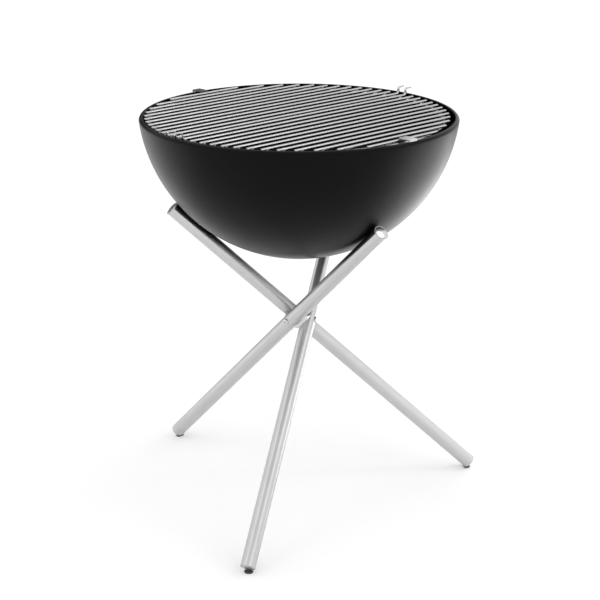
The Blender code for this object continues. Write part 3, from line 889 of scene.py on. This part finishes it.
def weld_mesh():
    """Beads where the rods cross the hoop, and between the outermost rods and the tabs."""
    random.seed(WELD_SEED)
    shape = bmesh.new()
    below = -ROD_RADIUS - GAP / 2
    for along, across in weld_positions():
        for offset in (-1, 1):
            size = [WELD_SIZE * random.uniform(*WELD_SPREAD) for _ in range(3)]
            size[2] *= WELD_FLATNESS
            centre = Vector((along, across + offset * WELD_BESIDE, below + WELD_RAISED))
            bead(shape, centre, size, random.uniform(0.0, WELD_SHAPES))
    last = rod_across(1, RODS_PER_SIDE - 1)
    for side in (-1, 1):
        for step in range(TAB_WELDS):
            along = TAB_WIDTH * (step / (TAB_WELDS - 1) - 0.5) * TAB_WELD_SPAN
            centre = Vector((along, side * (last + TAB_WELD_BESIDE), TAB_WELD_LEVEL))
            bead(shape, centre, TAB_WELD_SIZE, random.uniform(0.0, WELD_SHAPES))
    return mesh_from(shape, "grate_weld_mesh", BEAD_SMOOTH_ANGLE)


def build_grate():
    rod_steel = rod_material()
    # The left strip is the same steel as the right; its much darker tint is painted shade, not
    # soot.
    strips = {"left": tab_material("painted_shade_stainless_strip", 0.08, 0.12),
              "right": tab_material("brushed_stainless_strip", 0.50, 0.58)}
    level = ROD_LEVEL - ROD_RADIUS - HOOP_WIRE - GAP
    add_piece("grate_ring", hoop_mesh(), turned_steel_material("drawn_hoop_wire", 0.26),
              grate_matrix(0.0, level), "grate", "polished_stainless", "grate_hoop")
    for side, word in ((1, "left"), (-1, "right")):
        across = rod_across(side, 0)
        add_piece("grate_handle_%s" % word, hooked_rod_mesh(), rod_steel, grate_matrix(across),
                  "grate", "polished_stainless", "grate_hooked_rod_%s" % word)
        for index in range(1, RODS_PER_SIDE):
            across = rod_across(side, index)
            add_piece("grate_bar_%s_%02d" % (word, index), straight_rod_mesh(across), rod_steel,
                      grate_matrix(across), "grate", "polished_stainless",
                      "grate_rod_%s_%02d" % (word, index))
        add_piece("grate_lip_tab_%s" % word, tab_mesh(side), strips[word], grate_matrix(),
                  "grate", "brushed_stainless", "grate_tab_%s" % word)
    add_piece("grate_welds", weld_mesh(), weld_material(), grate_matrix(), "grate",
              "polished_stainless")


# ---------------------------------------------------------------- studio

def build_floor():
    mesh = lathe("studio_floor_mesh", [(radius, 0.0) for radius in FLOOR_RINGS], FLOOR_SIDES)
    floor = bpy.data.objects.new("studio_floor", mesh)
    set_in_place(mesh, Matrix.Translation((AXIS_X, AXIS_Y, FLOOR_LEVEL)))
    mesh.materials.append(floor_material())
    if mesh.polygons[0].normal.z < 0.0:
        mesh.flip_normals()
    bpy.context.scene.collection.objects.link(floor)


def area_light(name, place, target, size, power):
    """A rectangular light at a place, turned to its target."""
    data = bpy.data.lights.new(name, "AREA")
    data.shape = "RECTANGLE"
    data.size = size[0]
    data.size_y = size[1]
    data.energy = power
    light = bpy.data.objects.new(name, data)
    bpy.context.scene.collection.objects.link(light)
    light.location = place
    facing = (target - place).normalized()
    light.rotation_euler = facing.to_track_quat("-Z", "Y").to_euler()


def build_world():
    """White all round, but unlit low behind the object.

    What the camera sees directly is white everywhere.
    """
    world = bpy.data.worlds.new("studio")
    bpy.context.scene.world = world
    world.use_nodes = True
    tree = world.node_tree
    direction = tree.nodes.new("ShaderNodeTexCoord")
    apart = tree.nodes.new("ShaderNodeSeparateXYZ")
    tree.links.new(direction.outputs["Generated"], apart.inputs["Vector"])
    behind = mapped(tree, apart.outputs["Y"], *UNLIT_BEHIND, 0.0, 1.0)
    low = mapped(tree, apart.outputs["Z"], *UNLIT_BELOW, 1.0, 0.0)
    leftward = mapped(tree, apart.outputs["X"], *UNLIT_LEFT_OF, 1.0, 0.0)
    unlit = maths(tree, "MULTIPLY", maths(tree, "MULTIPLY", behind, low), leftward)
    lit = maths(tree, "SUBTRACT", 1.0, maths(tree, "MULTIPLY", unlit, STUDIO_DARKNESS))
    rays = tree.nodes.new("ShaderNodeLightPath")
    strength = maths(tree, "MAXIMUM", lit, rays.outputs["Is Camera Ray"])
    background = tree.nodes["Background"]
    background.inputs["Color"].default_value = (1.0, 1.0, 1.0, 1.0)
    tree.links.new(maths(tree, "MULTIPLY", strength, STUDIO_LIGHT), background.inputs["Strength"])


def build_camera():
    data = bpy.data.cameras.new("photo_camera")
    data.lens = CAMERA_LENS
    data.sensor_width = CAMERA_SENSOR
    data.sensor_fit = "HORIZONTAL"
    data.clip_end = CAMERA_CLIP_END
    camera = bpy.data.objects.new("photo_camera", data)
    bpy.context.scene.collection.objects.link(camera)
    place = Matrix.Translation((AXIS_X, AXIS_Y - CAMERA_DISTANCE, LIP_LEVEL + CAMERA_ABOVE_LIP))
    aim = (Matrix.Rotation(CAMERA_YAW, 4, "Z") @ Matrix.Rotation(math.pi / 2 - CAMERA_PITCH, 4, "X")
           @ Matrix.Rotation(CAMERA_ROLL, 4, "Z"))
    camera.matrix_world = place @ aim
    bpy.context.scene.camera = camera


def build_lights():
    """Three softboxes, and two spots that brighten the floor well to each side."""
    middle = Vector((AXIS_X, AXIS_Y, LIGHT_TARGET_HEIGHT))
    for name, direction, size, power in SOFTBOXES:
        area_light(name, middle + Vector(direction) * LIGHT_DISTANCE, middle, size, power)
    for name, right, back, power in FLOOR_WASHES:
        data = bpy.data.lights.new(name, "SPOT")
        data.energy = power
        data.spot_size = WASH_ANGLE
        data.spot_blend = WASH_BLEND
        data.shadow_soft_size = WASH_SOURCE
        wash = bpy.data.objects.new(name, data)
        wash.location = (AXIS_X + right, AXIS_Y + back, WASH_HEIGHT)
        bpy.context.scene.collection.objects.link(wash)


bpy.context.scene.view_settings.view_transform = "Standard"
build_camera()
build_world()
build_floor()
build_lights()
build_bowl()
build_tripod()
build_grate()
